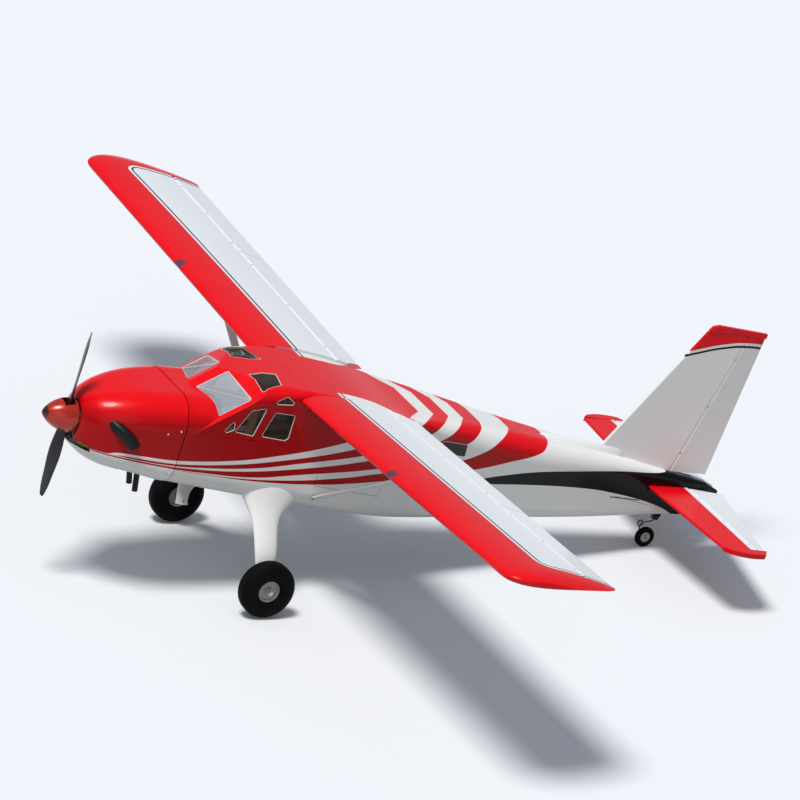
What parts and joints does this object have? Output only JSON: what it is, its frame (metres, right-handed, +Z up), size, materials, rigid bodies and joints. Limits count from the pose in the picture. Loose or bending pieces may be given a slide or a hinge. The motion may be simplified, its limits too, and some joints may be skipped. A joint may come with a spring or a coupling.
{
  "type": "model aircraft",
  "caption": "High-wing radio-control sport aircraft in red and white, with cabin glazing, struts, wheels, flaps, ailerons and working tail surfaces.",
  "frame": {"origin": "on the ground under the middle of the whole box, the model standing on its three wheels", "axes": "+X aft towards the tail, +Y to starboard, +Z up"},
  "size_m": [1.6414, 2.096, 0.5345],
  "materials": {
    "red_film": "gloss iron-on film, bright red",
    "white_film": "gloss iron-on film, white",
    "wing_film": "gloss film, white with a red leading edge band and pinstripes",
    "body_film": "gloss film, red above white with curved stripes",
    "glass_fibre": "painted moulding, red above a white chin",
    "clear_glazing": "clear sheet with pale cut edges",
    "lens": "clear lens over a reflector",
    "plywood": "light birch plywood",
    "black_plastic": "satin black moulding",
    "black_rubber": "black silicone tube",
    "tyre_rubber": "dull black smooth tyre",
    "grey_hub": "grey moulded hub",
    "steel": "plain steel",
    "dark_steel": "blackened steel",
    "aluminium": "machined aluminium",
    "red_metal": "orange red anodised cone with a dark tip",
    "blade": "dark composite",
    "tank": "translucent moulded tank",
    "fuel_tube": "yellow green tube",
    "joiner_tube": "drawn tube"
  },
  "bodies": {
    "airframe": {"rear_windows": "clear_glazing", "wing_port": "wing_film", "wing_starboard": "wing_film", "landing_lights": "lens", "wing_joiner": "joiner_tube", "aileron_servos": "black_plastic", "fin": "white_film", "stabiliser": "wing_film", "hinges": "black_plastic", "fuselage_shell": "body_film", "fuselage_formers": "plywood", "firewall": "plywood", "screws": "steel", "cowl": "glass_fibre", "exhaust_stacks": "black_plastic", "crankcase": "aluminium", "engine_mount": "aluminium", "cylinder": "aluminium", "spark_plug": "steel", "carburettor": "aluminium", "muffler": "steel", "exhaust_tubes": "black_rubber", "fuel_tank": "tank", "fuel_line": "fuel_tube", "radio_tray": "plywood", "tail_servos": "black_plastic", "wing_struts": "white_film", "strut_brackets": "black_plastic", "gear_leg_port": "white_film", "gear_leg_starboard": "white_film", "wheel_axles": "steel", "tail_bracket": "black_plastic"},
    "propeller": {"crankshaft": "steel", "propeller": "blade", "spinner_cone": "red_metal", "spinner_backplate": "red_metal", "prop_nut": "steel"},
    "wheel_port": {"wheel_hub_port": "grey_hub", "tyre_port": "tyre_rubber"},
    "wheel_starboard": {"wheel_hub_starboard": "grey_hub", "tyre_starboard": "tyre_rubber"},
    "aileron_port": {"aileron_port": "wing_film", "aileron_horn_port": "black_plastic"},
    "aileron_starboard": {"aileron_starboard": "wing_film", "aileron_horn_starboard": "black_plastic"},
    "arm_port": {"aileron_arm_port": "black_plastic"},
    "arm_starboard": {"aileron_arm_starboard": "black_plastic"},
    "pushrod_port": {"aileron_pushrod_port": "steel"},
    "pushrod_starboard": {"aileron_pushrod_starboard": "steel"},
    "flap_port": {"flap_port": "wing_film"},
    "flap_starboard": {"flap_starboard": "wing_film"},
    "elevator": {"elevators": "wing_film", "elevator_joiner": "steel"},
    "rudder": {"rudder": "white_film"},
    "steering": {"tail_spring": "dark_steel"},
    "tail_wheel": {"tail_hub": "grey_hub", "tail_tyre": "tyre_rubber"},
    "hatch": {"cabin_hatch": "red_film", "windshield_panes": "clear_glazing", "cabin_windows": "clear_glazing"}
  },
  "joints": [
    {"name": "propeller_spin", "type": "hinge", "parent": "airframe", "child": "propeller", "pos_m": [-0.76141, 0, 0.35674], "axis": [0.9881, 0, -0.1541], "continuous": true},
    {"name": "wheel_port_spin", "type": "hinge", "parent": "airframe", "child": "wheel_port", "pos_m": [-0.37398, -0.2244, 0.0595], "axis": [0, 1, 0], "continuous": true},
    {"name": "wheel_starboard_spin", "type": "hinge", "parent": "airframe", "child": "wheel_starboard", "pos_m": [-0.37398, 0.2244, 0.0595], "axis": [0, 1, 0], "continuous": true},
    {"name": "aileron_port_turn", "type": "hinge", "parent": "airframe", "child": "aileron_port", "pos_m": [-0.10548, -0.80394, 0.42285], "axis": [-0.0075, 0.9988, -0.0479], "range_deg": [-22, 22]},
    {"name": "aileron_starboard_turn", "type": "hinge", "parent": "airframe", "child": "aileron_starboard", "pos_m": [-0.10548, 0.80394, 0.42285], "axis": [0.0075, 0.9988, 0.0479], "range_deg": [-22, 22]},
    {"name": "aileron_arm_port_turn", "type": "hinge", "parent": "airframe", "child": "arm_port", "pos_m": [-0.16312, -0.76, 0.42967], "axis": [-0.0075, 0.9988, -0.0479], "range_deg": [-22, 22]},
    {"name": "aileron_arm_starboard_turn", "type": "hinge", "parent": "airframe", "child": "arm_starboard", "pos_m": [-0.16312, 0.76, 0.42967], "axis": [0.0075, 0.9988, 0.0479], "range_deg": [-22, 22]},
    {"name": "pushrod_port_turn", "type": "hinge", "parent": "arm_port", "child": "pushrod_port", "pos_m": [-0.16681, -0.7514, 0.40596], "axis": [-0.0075, 0.9988, -0.0479], "range_deg": [-22, 22]},
    {"name": "pushrod_starboard_turn", "type": "hinge", "parent": "arm_starboard", "child": "pushrod_starboard", "pos_m": [-0.16681, 0.7514, 0.40596], "axis": [0.0075, 0.9988, 0.0479], "range_deg": [-22, 22]},
    {"name": "flap_port_turn", "type": "hinge", "parent": "airframe", "child": "flap_port", "pos_m": [-0.1087, -0.37284, 0.40216], "axis": [-0.0075, 0.9988, -0.0479], "range_deg": [0, 35]},
    {"name": "flap_starboard_turn", "type": "hinge", "parent": "airframe", "child": "flap_starboard", "pos_m": [-0.1087, 0.37284, 0.40216], "axis": [0.0075, 0.9988, 0.0479], "range_deg": [0, 35]},
    {"name": "elevator_turn", "type": "hinge", "parent": "airframe", "child": "elevator", "pos_m": [0.69379, 0, 0.1349], "axis": [0, 1, 0], "range_deg": [-20, 20]},
    {"name": "rudder_turn", "type": "hinge", "parent": "airframe", "child": "rudder", "pos_m": [0.70779, 0, 0.30984], "axis": [0.3971, 0, 0.9178], "range_deg": [-25, 25]},
    {"name": "tail_steer", "type": "hinge", "parent": "airframe", "child": "steering", "pos_m": [0.6348, 0, 0.0682], "axis": [0.1541, 0, 0.9881], "range_deg": [-25, 25]},
    {"name": "tail_wheel_spin", "type": "hinge", "parent": "steering", "child": "tail_wheel", "pos_m": [0.61951, 0, 0.022], "axis": [0, 1, 0], "continuous": true},
    {"name": "hatch_lift", "type": "slide", "parent": "airframe", "child": "hatch", "axis": [0.1541, 0, 0.9881], "range_m": [0, 0.09]}
  ],
  "couplings": [
    {"joint": "aileron_starboard_turn", "follows": "aileron_port_turn", "ratio": -1},
    {"joint": "aileron_arm_port_turn", "follows": "aileron_port_turn", "ratio": 1},
    {"joint": "aileron_arm_starboard_turn", "follows": "aileron_port_turn", "ratio": -1},
    {"joint": "pushrod_port_turn", "follows": "aileron_port_turn", "ratio": -1},
    {"joint": "pushrod_starboard_turn", "follows": "aileron_port_turn", "ratio": 1},
    {"joint": "flap_starboard_turn", "follows": "flap_port_turn", "ratio": 1},
    {"joint": "tail_steer", "follows": "rudder_turn", "ratio": 1}
  ]
}
